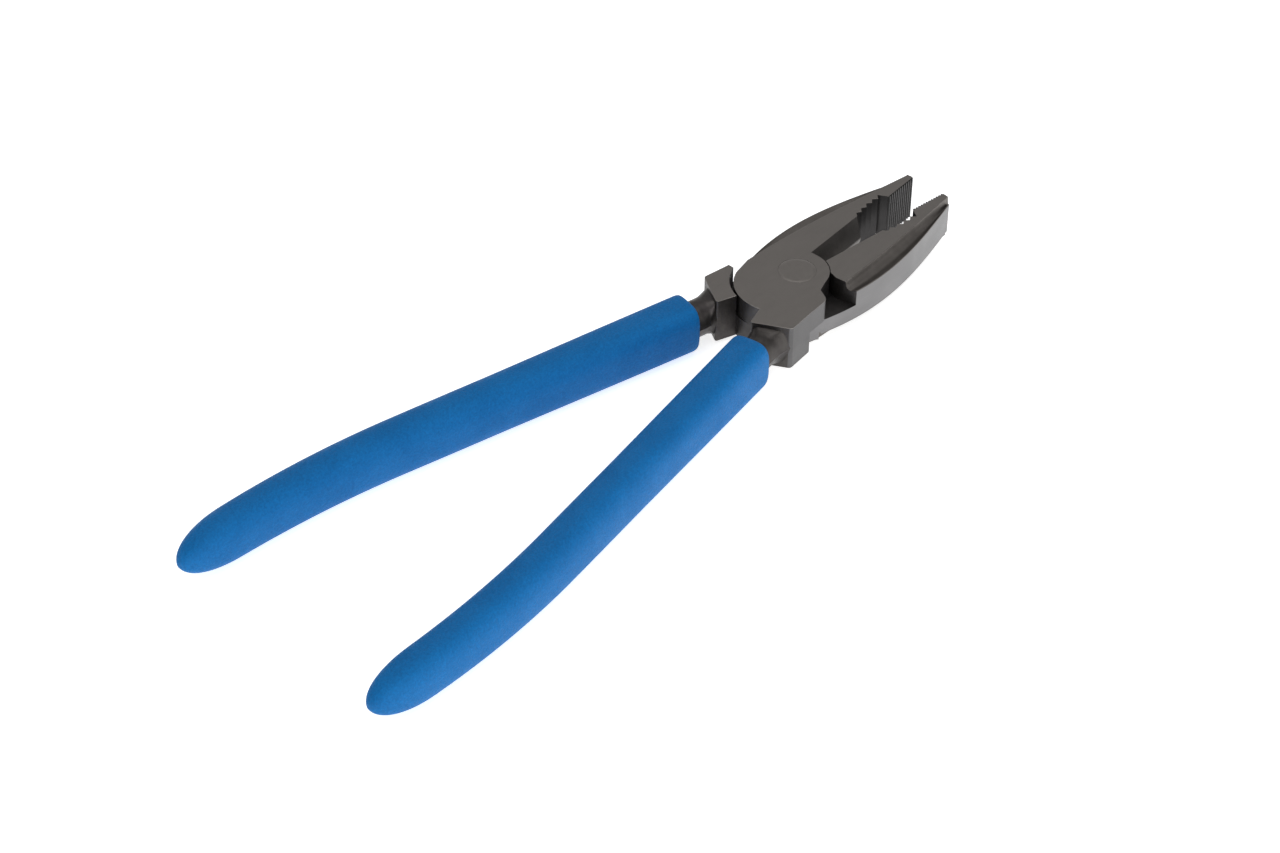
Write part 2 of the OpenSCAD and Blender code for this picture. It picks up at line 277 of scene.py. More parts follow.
# the forged half is made in millimetres in the closed position: lap disc on top, jaw at +Y, handle at -Y
head = {
    "thickness": 12.4,
    "jawLength": 50.5,
    "tipHeight": 2.9,
    "faceHalfWidth": 12.1,
    "faceTipHeight": 2.1,
    "flangeHalfWidth": 14.0,
    "flangeDrop": 1.8,
    "channelDepth": 2.4,
    "backCorner": 4.25,  # how far behind the pivot the rear outer corner stands
    "backCornerRise": 0.08,
    "arcStart": 9.9,  # how far behind the pivot the rear arc starts
    "edgeRound": 0.13,  # small round along the ground outline
    "toothEdgeRound": 0.05,
    "tipRound": 0.45,
    "tipBreak": 0.12,  # small flat where the fine teeth meet the tip
    "flangeRound": 0.3,
    "lipRound": 0.11,  # where the ground face rolls into the channel
}
bite = {
    "edgeGap": 0.08,
    "edgeRound": 0.03,
    "cutterEnd": 27.6,
    "bevelWidth": 1.7,
    "cutterLand": 0.3,  # half of the blunt land along the cutting edge
    "gripLength": 12.0,
    "gripTeeth": 5,
    "toothDepth": 0.95,
    "toothPower": 0.92,  # 1 for straight sides
    "gripArch": 0.55,
    "lastNotch": 1.35,  # the notch next to the fine teeth is deeper
    "fineTeeth": 12,
    "fineDepth": 0.35,
    "fineHeight": 0.12,
    "fineMargin": 0.1,  # plain strip at each end of the fine teeth
    "fineWidth": 0.74,  # half width of a fine tooth's bar as a share of half the pitch
    "fineInset": 0.04,  # they stop this far short of the ground faces
}
joint = {
    "discRadius": 8.1,
    "discEdge": 0.1,
    "discArc": (-82.5, -1.2),  # the part of the disc's rim that no pad or jaw covers
    "backRadius": 11.9,
    "backCentre": 6.4,
    "nestGap": 0.18,
    "nestEnd": 66,  # angle at which the nest's rear wall ends
    "lapGap": 0.06,
    "weld": 0.05,  # how far an outline runs into the disc that it joins
    "jawWall": 5.4,
    "jawLean": (0.5, 2.2, 3.6),  # how far the jaw's wall leans forward at three heights
    "swing": 14,  # how far behind the pivot the room for the other disc reaches
    "padRoom": (11.6, 9),  # the same on the pad's side, behind and before the pivot
}
pad = {
    "width": 12.9,
    "length": 23.8,
    "inner": 3.4,
    "slant": 4.4,
    "leaveAngle": 10,  # where the pad's inner edge leaves the rear arc
    "leavePoint": (-18.12, -2.07),
    "middle": 12,  # where the outer side starts to run straight
    "swell": 0.1,  # the rear outer corner stands this far beyond the width
    "relief": 0.2,  # the straight side stands this far inside it
    "shoulder": 3.8,
    "shoulderSet": 0.9,
    "shoulderRun": 1.2,
    "cornerRound": 0.8,
    "frontRound": 1.5,
    "sideRound": 0.1,
    "rearRound": 0.05,
}
handle = {
    "length": 174.5,
    "neckStart": -20.0,
    "neckHalfWidth": 4.9,
    "neckFlare": 1.4,
    "flareLength": 7,
    "taperPower": 0.7,
    "neckSink": 1.6,  # how far the neck reaches into the pad
    "neckEnd": -27.0,  # where the neck's own shape has run out
    "neckRise": 0.45,  # the neck thickens where it meets the pad
    "neckBlend": 7.0,  # length over which the pad's slant runs out
    "blendRise": 0.12,
    "outerBlend": 0.15,
    "innerBlend": 1.05,
    "filletLength": 3.4,  # the concave fillet behind the pad
    "filletWidth": 0.9,
    "boxSquareness": 7.0,
    "partingRidge": 0.27,  # how far the sides slope away from the ridge at mid height
    "ridgeFade": 20,  # length inside the grip over which the ridge fades
    "hiddenRidge": 0.3,  # share of the ridge that is left there
    "halfThickness": 4.7,
    "endHalfWidth": 3.4,
    "lineOffset": 6.9,
    "lineAngle": 6.0,
    "bendStart": 112.0,
    "bendRadius": 260.0,
    "squareness": 2.7,
    "sides": 48,
    "forgeRipple": 0.06,
}
dip = {
    "start": 29.0,
    "sideThickness": (0.8, 1.6, 1.5),  # front, middle, back
    "topThickness": (2.3, 2.5, 1.6),
    "endRound": 16.0,
    "endPowers": (2.3, 2.0),  # shape of the blunt end
    "endInset": 0.06,
    "tail": 6.0,
    "squareness": 2.5,
    "frontSquareness": 1.1,  # the front of the grip is boxier than its end
    "boxyShare": 0.4,  # share of the length over which that fades
    "sides": 64,
    "stations": 120,
    "endStations": 34,
    "socketStations": 40,
    "lip": [(0.75, 0.1), (0.35, 0.28), (0.1, 0.48), (0.0, 0.66), (0.12, 0.82), (0.42, 0.93),
            (0.9, 0.985), (1.6, 1.0)],  # distance from the front, share of the thickness
    "socketFloor": [(0.08, 0.2, 0.2), (0.06, 1.6, 2.2)],  # distance past the tang, half width and height
    "socketRun": (0.04, 1.2),  # where its walls start past the tang and end behind the front
    "bondGap": 0.03,
    "inside": 0.055,  # keeps the smooth skin within the faceted one's box
}
midHeight = head["thickness"] / 2
gripEnd = bite["cutterEnd"] + bite["gripLength"]
tangEnd = -(handle["length"] - dip["tail"])


def bezier(p, t):
    s = 1 - t
    return sum(np.array(q, float) * w for q, w in zip(p, (s ** 3, 3 * t * s * s, 3 * t * t * s, t ** 3)))


faceCurve = [(-4.2, head["faceHalfWidth"]), (16, head["faceHalfWidth"] - 1.5), (38, 4.8),
             (head["jawLength"], head["faceTipHeight"])]
flangeCurve = [(-3.2, head["flangeHalfWidth"] - 1), (17, head["flangeHalfWidth"] + 2.4),
               (head["jawLength"] - 17.5, 9.8), (head["jawLength"], head["tipHeight"])]


def lineY(x):
    # distance of the handle's centre line from the tool's, at x
    angle = math.radians(handle["lineAngle"])
    if x > -handle["bendStart"]:
        return handle["lineOffset"] + (handle["neckStart"] - x) * math.tan(angle)
    endY = handle["lineOffset"] + (handle["bendStart"] + handle["neckStart"]) * math.tan(angle)
    radius = handle["bendRadius"]
    centreX = -handle["bendStart"] - radius * math.sin(angle)
    return endY - radius * math.cos(angle) + math.sqrt(radius ** 2 - (x - centreX) ** 2)


def lineSide(x):
    # unit vector across the handle's line, outwards
    slope = lineY(x + 0.5) - lineY(x - 0.5)
    return np.array([-slope, 1.0]) / math.hypot(slope, 1)


def threePoint(values, u):
    a, b, c = values
    return a * (1 - u) * (1 - 2 * u) + 4 * b * u * (1 - u) + c * u * (2 * u - 1)


def tangWidth(x):
    u = max(0.0, (x - handle["neckStart"]) / (tangEnd - handle["neckStart"]))
    flare = handle["neckFlare"] * max(0.0, 1 - (handle["neckStart"] - x) / handle["flareLength"]) ** 2
    taper = (handle["endHalfWidth"] - handle["neckHalfWidth"]) * u ** handle["taperPower"]
    return handle["neckHalfWidth"] + taper + flare


def signedPower(value, power):
    return math.copysign(abs(value) ** power, value)


def toFrame(point, half):
    # from the closed half, lap disc on top, to its place on the tool, in metres
    x, y, z = point
    turn = math.radians(restOpen)
    if half == "b":
        y, z, turn = -y, head["thickness"] - z, -turn
    return Vector((x * math.cos(turn) - y * math.sin(turn), x * math.sin(turn) + y * math.cos(turn), z)) * mm


def newPiece(name, points, faces, materials=(), indices=None):
    mesh = bpy.data.meshes.new(name)
    mesh.from_pydata([tuple(p) for p in points], [], faces)
    for material in materials:
        mesh.materials.append(material)
    if indices is not None:
        mesh.polygons.foreach_set("material_index", indices)
    mesh.update()
    piece = bpy.data.objects.new(name, mesh)
    scene.collection.objects.link(piece)
    return piece


def finishedMesh(piece):
    return bpy.data.meshes.new_from_object(piece.evaluated_get(bpy.context.evaluated_depsgraph_get()))


def faceOutwards(mesh):
    work = bmesh.new()
    work.from_mesh(mesh)
    bmesh.ops.recalc_face_normals(work, faces=work.faces)
    work.to_mesh(mesh)
    work.free()
    mesh.update()


finishSlots = [steel["ground"] if n == "edge" else steel[n] for n in finishOrder]


def ringFaces(count, last):
    # quads between rings of points, then the two caps
    faces = []
    for r in range(last):
        for i in range(count):
            j = (i + 1) % count
            faces.append((r * count + i, r * count + j, (r + 1) * count + j, (r + 1) * count + i))
    faces.append(tuple(range(count - 1, -1, -1)))
    faces.append(tuple(last * count + i for i in range(count)))
    return faces


def skinPiece(name, rings, finish):
    # closed skin over rings with the same number of points
    faces = ringFaces(len(rings[0]), len(rings) - 1)
    points = [p for ring in rings for p in ring]
    piece = newPiece(name, points, faces, finishSlots, [finishIndex[finish]] * len(faces))
    faceOutwards(piece.data)
    return piece


def insetDirections(outline):
    points = np.array([p[:2] for p in outline], float)
    along = np.roll(points, -1, 0) - points
    along /= np.linalg.norm(along, axis=1)[:, None]
    inward = np.stack([-along[:, 1], along[:, 0]], 1)
    before = np.roll(inward, 1, 0)
    share = np.maximum(1 + (inward * before).sum(1), 0.55)  # the limit keeps sharp corners short
    return points, (inward + before) / share[:, None]


def roundedPrism(name, outline, height, steps=4):
    # outline points are (x, y, edge round, finish of the wall that starts there)
    points, inward = insetDirections(outline)
    rounds = np.array([p[2] for p in outline])
    angles = [math.radians(90 * k / steps) for k in range(steps + 1)]
    levels = [(1 - math.sin(a), 1 - math.cos(a), False) for a in angles]
    levels += [(1 - math.sin(a), 1 - math.cos(a), True) for a in reversed(angles)]
    rings = []
    for inset, rise, upper in levels:
        flat = points + inward * (rounds * inset)[:, None]
        z = height - rounds * rise if upper else rounds * rise
        rings.append(np.column_stack([flat, z]))
    last = len(rings) - 1
    faces = ringFaces(len(outline), last)
    walls = [finishIndex[p[3]] for p in outline]
    rounded = [finishIndex["edge"]] * len(outline)
    indices = [index for r in range(last) for index in (walls if r == steps else rounded)]
    indices += [finishIndex["ground"]] * 2
    return newPiece(name, np.concatenate(rings), faces, finishSlots, indices)


def straightPrism(name, points, low, high, finish):
    return skinPiece(name, [[(x, y, low) for x, y in points], [(x, y, high) for x, y in points]], finish)


def circle(cx, cy, radius, count):
    turns = [2 * math.pi * i / count for i in range(count)]
    return [(cx + radius * math.cos(a), cy + radius * math.sin(a)) for a in turns]


def combine(target, tool, operation="DIFFERENCE"):
    modifier = target.modifiers.new("combine", "BOOLEAN")
    modifier.object = tool
    modifier.operation = operation
    modifier.solver = "EXACT"
    modifier.material_mode = "INDEX"
    mesh = finishedMesh(target)
    target.modifiers.remove(modifier)
    old, target.data = target.data, mesh
    bpy.data.meshes.remove(old)
    toolMesh = tool.data
    bpy.data.objects.remove(tool)
    bpy.data.meshes.remove(toolMesh)
    return target


def cornerArc(before, corner, after, radius, steps=7):
    a, b, c = (np.array(p, float) for p in (before, corner, after))
    start = b + (a - b) / np.linalg.norm(a - b) * radius
    end = b + (c - b) / np.linalg.norm(c - b) * radius
    return [tuple((1 - t) ** 2 * start + 2 * t * (1 - t) * b + t * t * end)
            for t in np.linspace(0, 1, steps)]


def arc(cx, cy, radius, fromAngle, toAngle, count):
    angles = np.radians(np.linspace(fromAngle, toAngle, count))
    return [(cx + radius * math.cos(a), cy + radius * math.sin(a)) for a in angles]


def gripArchY(u):
    return bite["bevelWidth"] - 0.1 + bite["gripArch"] * math.sin(math.pi * u)


def coarseTeeth():
    # V notches along a shallow arch; the last one runs straight out to the fine teeth
    steps = 8
    pitch = bite["gripLength"] / bite["gripTeeth"]
    last = bite["gripTeeth"] - 1
    for tooth in range(bite["gripTeeth"]):
        deeper = bite["lastNotch"] if tooth == last else 1.0
        for k in range(steps):
            share = k / steps
            if tooth == last and share > 0.5:
                continue
            scoop = bite["toothDepth"] * deeper * (1 - abs(2 * share - 1)) ** bite["toothPower"]
            yield (bite["cutterEnd"] + (tooth + share) * pitch,
                   gripArchY((tooth + share) / bite["gripTeeth"]) + scoop)


def jawOutline():
    soft, crisp = head["edgeRound"], head["toothEdgeRound"]
    tipX, flat = head["jawLength"], head["tipBreak"]
    outline = [(joint["discRadius"] - joint["weld"], bite["edgeGap"], bite["edgeRound"], "cutter"),
               (bite["cutterEnd"], bite["edgeGap"], bite["edgeRound"], "tooth")]
    # the coarse teeth's walls take the tooth finish, whose dark colour holds painted shade
    for x, y in coarseTeeth():
        outline.append((x, y, crisp, "tooth"))
    valley = bite["fineHeight"] + bite["fineDepth"]
    sideFrom, sideTo, sideSteps = 0.975, 0.004, 150  # along the flange's curve, from tip to back
    outline += [(gripEnd, valley, crisp, "lap"), (tipX - flat, valley, crisp, "side"),
                (tipX, valley + flat, crisp, "side")]
    tipLow, tipSide = (tipX, 1.0), tuple(bezier(flangeCurve, 0.98))
    for x, y in cornerArc(tipLow, (tipX, head["tipHeight"]), tipSide, head["tipRound"]):
        outline.append((x, y, flat, "side"))
    for t in np.linspace(sideFrom, sideTo, sideSteps):
        x, y = bezier(flangeCurve, t)
        outline.append((x, y, soft, "side"))
    backX, backR = joint["backCentre"], joint["backRadius"]
    topAngle = math.degrees(math.acos((-head["arcStart"] + backX) / backR))
    outline.append((-head["backCorner"], head["faceHalfWidth"] + head["backCornerRise"], soft, "side"))
    leave = math.radians(pad["leaveAngle"])
    for x, y in arc(-backX, 0, backR, topAngle, 180 + pad["leaveAngle"] - 2, 64):
        outline.append((x, y, soft, "lap"))
    outline.append((-backX - backR * math.cos(leave), -backR * math.sin(leave), soft, "neck"))
    return outline


def padOutline():
    soft, full = pad["rearRound"], pad["sideRound"]
    sideY = -pad["width"] + pad["relief"]
    corners = [pad["leavePoint"], (-pad["length"], -pad["inner"]),
               (-pad["length"] + pad["slant"], -pad["width"] - pad["swell"]), (-pad["middle"], sideY),
               (-pad["shoulder"] - pad["shoulderSet"], sideY),
               (-pad["shoulder"] + pad["shoulderRun"], -joint["discRadius"] - 1)]
    rounds = {1: (pad["cornerRound"], "neck", soft), 2: (pad["cornerRound"], "pad", full),
              4: (pad["frontRound"], "pad", full)}
    outline = []
    for i in range(1, 5):
        if i in rounds:
            radius, finish, edge = rounds[i]
            for x, y in cornerArc(corners[i - 1], corners[i], corners[i + 1], radius):
                outline.append((x, y, edge, finish))
        else:
            outline.append((*corners[i], full, "pad"))
    outline.append((*corners[5], joint["discEdge"], "lap"))
    fromAngle, toAngle = joint["discArc"]
    for x, y in arc(0, 0, joint["discRadius"], fromAngle, toAngle, 60):
        outline.append((x, y, joint["discEdge"], "lap"))
    return outline


def lapRoomTools():
    # room for the other half's lap disc, over its whole swing
    top = midHeight + joint["lapGap"] / 2
    wall = joint["discRadius"] + joint["nestGap"]
    back = joint["backRadius"] + joint["nestGap"]
    backX, wallX = joint["backCentre"], joint["jawWall"]
    half = head["flangeHalfWidth"]
    lean, swing = joint["jawLean"], joint["swing"]
    nestEnd = math.radians(joint["nestEnd"])
    outside, below = half + 6, -pad["width"] - 1  # past the head's sides
    room = [(wall * math.cos(math.pi / 4), wall * math.sin(math.pi / 4)), (wallX, wall),
            (wallX + lean[0], head["faceHalfWidth"] - 1.5), (wallX + lean[1], half + 0.7),
            (wallX + lean[2], outside), (-swing, outside), (-swing, 8), (-backX, 0),
            (-backX - back * math.cos(nestEnd), -back * math.sin(nestEnd)),
            (-joint["padRoom"][0], below), (joint["padRoom"][1], below), (joint["discRadius"], 0)]
    yield straightPrism("discRoom", circle(0, 0, wall, 180), -1, top, "lap")
    yield straightPrism("backRoom", circle(-backX, 0, back, 200), -1, top, "lap")
    yield straightPrism("swingRoom", room, -1, top, "lap")


def smoothKnot(knots, k, t):
    # Catmull-Rom point between knots k and k + 1
    last = len(knots) - 1
    p0, p1, p2, p3 = (np.array(knots[min(max(0, i), last)]) for i in range(k - 1, k + 3))
    return 0.5 * (2 * p1 + (p2 - p0) * t + (2 * p0 - 5 * p1 + 4 * p2 - p3) * t * t
                  + (3 * p1 - p0 - 3 * p2 + p3) * t ** 3)


def channelSection(width):
    # (distance from the ground face's edge, depth) across the forged channel
    depth, drop = head["channelDepth"], head["flangeDrop"]
    knots = [(0.0, 0.0), (0.09, 0.58 * depth), (0.26, 0.88 * depth), (0.5, depth),
             (0.78, depth + (drop - depth) * 0.45), (1.0, drop), (1.2, drop - 0.1)]
    lip = min(head["lipRound"], 0.1 * width)
    fillet = min(head["flangeRound"], 0.3 * width)
    above, outside = -1.0, 1.8  # how far the cut runs past the face and past the flange
    section = [(-lip, above), (-lip, 0.0), (-0.3 * lip, 0.3 * lip), (0.0, lip)]
    for k in range(5):
        for t in (0.25, 0.5, 0.75, 1.0):
            q = smoothKnot(knots, k, t)
            if q[0] * width < width - fillet and q[1] > lip:
                section.append((q[0] * width, q[1]))
    for degrees in (20, 40, 60, 80):
        a = math.radians(degrees)
        section.append((width - fillet + fillet * math.sin(a), drop + fillet * (1 - math.cos(a))))
    section += [(width + 0.03, drop + fillet * 1.08), (width + outside, drop + fillet * 1.1),
                (width + outside, above)]
    return section


def channelTool(upper):
    stations = 90
    rings = []
    count = len(channelSection(3.0))
    for i in range(stations + 1):
        t = i / stations
        run = 1.0 if i == stations else 0.0  # the last section runs out past the tip
        inner, outer = bezier(faceCurve, t), bezier(flangeCurve, t)
        width = float(np.linalg.norm(outer - inner))
        across = (outer - inner) / width
        section = channelSection(width)
        while len(section) < count:
            section.insert(5, section[5])  # every section needs the same number of points
        ring = []
        for distance, depth in section[:count]:
            p = inner + across * distance
            z = head["thickness"] - depth if upper else depth
            ring.append((p[0] + run, p[1], z))
        rings.append(ring)
    return skinPiece("channelTool", rings, "channel")


def bevelTool(upper):
    rise = midHeight - bite["cutterLand"]
    gap, wide = bite["edgeGap"], bite["bevelWidth"]
    section = [(gap - 1, -1.0), (wide + wide / rise, -1.0), (gap, rise), (gap - 1, rise)]
    rings = []
    for x in (joint["discRadius"], bite["cutterEnd"]):
        rings.append([(x, y, head["thickness"] - depth if upper else depth) for y, depth in section])
    return skinPiece("bevelTool", rings, "cutter")


def neckRing(x, distance, slope):
    # ring of the neck or tang; distance is measured back from the middle of the pad's rear face
    side = lineSide(x)
    hidden = x < -dip["start"]  # inside the grip
    blend = max(0.0, 1 - max(distance, 0.0) / handle["neckBlend"]) ** 2
    fillet = max(0.0, 1 - max(distance, 0.0) / handle["filletLength"]) ** 2
    neckEnd = handle["neckEnd"]
    plain = tangWidth(min(x, neckEnd)) if x < neckEnd else handle["neckHalfWidth"]
    height = handle["halfThickness"] + handle["neckRise"] * fillet + handle["blendRise"] * blend
    oval = dip["squareness"] - 0.05 if x <= -dip["start"] else handle["squareness"]
    ridge = handle["partingRidge"]
    if x <= -dip["start"]:
        ridge *= max(handle["hiddenRidge"], 1 + (x + dip["start"]) / handle["ridgeFade"])
    power = 2 / (oval + (handle["boxSquareness"] - oval) * fillet)
    ring = []
    noiseX, noiseTurn, bare = 0.8, 3, 0.4  # ripple's scales, and the run by the pad that has none
    for i in range(handle["sides"]):
        a = i * 2 * math.pi / handle["sides"]
        outer = math.cos(a) > 0
        if outer:
            width = plain + (handle["filletWidth"] * fillet + handle["outerBlend"] * blend)
        else:
            width = plain - handle["innerBlend"] * blend
        if x > neckEnd:
            width += (tangWidth(neckEnd) - handle["neckHalfWidth"]) * (1 - blend)
        ripple = handle["forgeRipple"] * noise.noise(
            (x * noiseX, math.cos(a) * noiseTurn, math.sin(a) * noiseTurn))
        if hidden or distance < bare:
            ripple = 0.0
        level = signedPower(math.sin(a), power)
        across = (width + ripple) * signedPower(math.cos(a), power) * (1 - ridge * abs(level))
        up = (height + ripple) * level
        lean = slope * blend * across
        ring.append((x + across * side[0] + lean, -(lineY(x) + across * side[1]), midHeight + up))
    return ring


def neckPiece():
    # forged neck and tang: box-like where it leaves the pad's slanted rear face, then an oval
    faceX = -pad["length"] + pad["slant"] / 2
    slope = pad["slant"] / (pad["width"] + pad["swell"] - pad["inner"])
    neckRun, step, tangFrom, tangRings = 9.4, 0.35, 9.8, 28  # the neck's rings are the closer ones
    distances = list(np.arange(-handle["neckSink"], neckRun, step))
    distances += list(np.linspace(tangFrom, faceX - tangEnd, tangRings))
    return skinPiece("neck", [neckRing(faceX - d, d, slope) for d in distances], "neck")


rivet = {
    "shankRadius": 4.0,
    "headRadius": 4.8,
    "headDepth": 1.8,
    "gap": 0.025,  # clearance of the hole round the rivet
    "sides": 96,
    "edgeBreak": 0.05,
    "crown": [(0.02, -0.03), (1.3, -0.03), (1.55, -0.012), (3.7, -0.008)],  # radius, height
}


def turnedRings(levels):
    return [[(x, y, z) for x, y in circle(0, 0, radius, rivet["sides"])] for radius, z in levels]


def rivetHoleTool():
    # bore through the lap with the countersink that the rivet's head fills
    top = head["thickness"]
    bore = rivet["shankRadius"] + rivet["gap"]
    mouth = rivet["headRadius"] + rivet["gap"]
    levels = [(bore, -1.0), (bore, top - rivet["headDepth"]), (mouth, top), (mouth, top + 1)]
    return skinPiece("rivetHole", turnedRings(levels), "lap")


def buildClosedHalf():
    half = roundedPrism("headHalf", jawOutline() + padOutline(), head["thickness"])
    for tool in lapRoomTools():
        combine(half, tool)
    print("lap room cut")
    for upper in (True, False):
        combine(half, channelTool(upper))
        combine(half, bevelTool(upper))
    print("channels and cutter cut")
    combine(half, neckPiece(), "UNION")
    combine(half, rivetHoleTool())
    work = bmesh.new()
    work.from_mesh(half.data)
    weldDistance = 0.0004
    bmesh.ops.remove_doubles(work, verts=work.verts, dist=weldDistance)
    bmesh.ops.dissolve_degenerate(work, edges=work.edges, dist=weldDistance / 2)
    openEdges = sum(1 for e in work.edges if not e.is_manifold)
    work.to_mesh(half.data)
    work.free()
    print("half:", len(half.data.vertices), "points,", openEdges, "open edges")
    return half


def setEdgeWear(mesh):
    # the rounded edges get the mask 1, and the finish of the ground faces
    indices = np.zeros(len(mesh.polygons), np.int32)
    mesh.polygons.foreach_get("material_index", indices)
    mask = (indices == finishIndex["edge"]).astype(np.float32)
    attribute = mesh.attributes.new("edgeWear", "FLOAT", "FACE")
    attribute.data.foreach_set("value", mask)
    indices[indices == finishIndex["edge"]] = finishIndex["ground"]
    mesh.polygons.foreach_set("material_index", indices)


def crispShading(piece, degrees):
    mesh = piece.data
    mesh.polygons.foreach_set("use_smooth", [True] * len(mesh.polygons))
    mesh.set_sharp_from_angle(angle=math.radians(degrees))
    weighted = piece.modifiers.new("weighted", "WEIGHTED_NORMAL")
    weighted.keep_sharp = True
    weighted.weight = 60
    done = finishedMesh(piece)
    piece.modifiers.remove(weighted)
    piece.data = done
    bpy.data.meshes.remove(mesh)


def placeHalf(closed, name, half):
    mesh = closed.data.copy()
    for vertex in mesh.vertices:
        vertex.co = toFrame(vertex.co, half)
    mesh.update()
    piece = bpy.data.objects.new(name, mesh)
    scene.collection.objects.link(piece)
    setEdgeWear(mesh)
    crispShading(piece, 30)
    mesh = piece.data
    mesh.name = name
    return piece


closedHalf = buildClosedHalf()
headHalves = {}
for half in ("a", "b"):
    headHalves[half] = placeHalf(closedHalf, "headHalf" + half.upper(), half)
bpy.data.objects.remove(closedHalf)
print("both halves forged")


def setInputs(modifier, **values):
    names = {item.name: item.identifier for item in modifier.node_group.interface.items_tree
             if getattr(item, "in_out", "") == "INPUT"}
    for name, value in values.items():
        modifier[names[name.replace("_", " ")]] = value


def toPlainMesh(source, name):
    mesh = finishedMesh(source)
    mesh.name = name
    sourceMesh = source.data
    bpy.data.objects.remove(source)
    bpy.data.meshes.remove(sourceMesh)
    piece = bpy.data.objects.new(name, mesh)
    scene.collection.objects.link(piece)
    faceOutwards(mesh)
    return piece


def finishTree(tree, geometry, material, groupOut):
    # instances made real, with the material set
    real = addNode(tree, "GeometryNodeRealizeInstances", {"Geometry": geometry})
    finish = addNode(tree, "GeometryNodeSetMaterial", {"Geometry": real.outputs["Geometry"],
                                                       "Material": material})
    plug(tree, groupOut, {"Geometry": finish.outputs["Geometry"]})


def fineTeethTree():
    tree, groupIn, groupOut = newGroup(
        "fineTeeth",
        [("Geometry", "NodeSocketGeometry", None), ("Count", "NodeSocketInt", 12),
         ("Start", "NodeSocketFloat", 0.04), ("Pitch", "NodeSocketFloat", 0.001),
         ("Crest", "NodeSocketFloat", 0.0001), ("Depth", "NodeSocketFloat", 0.0003),
         ("Height", "NodeSocketFloat", 0.012), ("Middle", "NodeSocketFloat", 0.006),
         ("Side", "NodeSocketFloat", 1.0), ("Turn", "NodeSocketFloat", 0.0), ("Seed", "NodeSocketInt", 3),
         ("Material", "NodeSocketMaterial", None)],
        [("Geometry", "NodeSocketGeometry")], "GeometryNodeTree")
    take = groupIn.outputs
    halfPitch = mathNode(tree, "MULTIPLY", take["Pitch"], 0.5)
    sunk = mathNode(tree, "ADD", take["Crest"], take["Depth"])
    step = addNode(tree, "ShaderNodeCombineXYZ", {0: take["Pitch"]})
    first = addNode(tree, "ShaderNodeCombineXYZ", {0: mathNode(tree, "ADD", take["Start"], halfPitch),
                                                   1: mathNode(tree, "MULTIPLY", sunk, take["Side"]),
                                                   2: take["Middle"]})
    row = addNode(tree, "GeometryNodeMeshLine", {"Count": take["Count"], "Offset": step.outputs[0],
                                                 "Start Location": first.outputs[0]})
    # six-sided bar, a flat towards the other jaw
    ridge = addNode(tree, "GeometryNodeMeshCylinder", {"Vertices": 6, "Radius": 1.0,
                                                       "Depth": take["Height"]})
    tall = mathNode(tree, "DIVIDE", take["Depth"], math.sin(math.radians(60)))
    wide = mathNode(tree, "MULTIPLY", halfPitch, bite["fineWidth"])
    squash = addNode(tree, "ShaderNodeCombineXYZ", {0: wide, 1: tall, 2: 1.0})
    shaped = addNode(tree, "GeometryNodeTransform", {"Geometry": ridge.outputs["Mesh"],
                                                     "Scale": squash.outputs[0]})
    uneven = addNode(tree, "FunctionNodeRandomValue", data_type="FLOAT")
    plug(tree, uneven, {"Min": 0.9, "Max": 1.0, "Seed": take["Seed"]})
    scale = addNode(tree, "ShaderNodeCombineXYZ", {0: 1.0, 1: uneven.outputs["Value"], 2: 1.0})
    placed = addNode(tree, "GeometryNodeInstanceOnPoints", {"Points": row.outputs["Mesh"],
                                                            "Instance": shaped.outputs["Geometry"],
                                                            "Scale": scale.outputs[0]})
    angle = addNode(tree, "ShaderNodeCombineXYZ", {2: take["Turn"]})
    turned = addNode(tree, "GeometryNodeTransform", {"Geometry": placed.outputs["Instances"],
                                                     "Rotation": angle.outputs[0]})
    finishTree(tree, turned.outputs["Geometry"], take["Material"], groupOut)
    return tree


teethTree = fineTeethTree()
fineTeeth = {}
for half, side in (("a", 1), ("b", -1)):
    source = newPiece("teethSource", [(0, 0, 0)], [])
    modifier = source.modifiers.new("fineTeeth", "NODES")
    modifier.node_group = teethTree
    margin = bite["fineMargin"]
    # the bars take the tooth finish, whose dark colour holds painted shade of the valleys between them
    setInputs(modifier, Count=bite["fineTeeth"], Start=(gripEnd + margin) * mm,
              Pitch=(head["jawLength"] - gripEnd - 2 * margin) / bite["fineTeeth"] * mm,
              Crest=bite["fineHeight"] * mm, Depth=bite["fineDepth"] * mm,
              Height=(head["thickness"] - 2 * bite["fineInset"]) * mm, Middle=midHeight * mm,
              Side=float(side), Turn=math.radians(restOpen) * side, Seed=7, Material=steel["tooth"])
    fineTeeth[half] = toPlainMesh(source, "fineTeeth" + half.upper())
print("fine teeth cut")


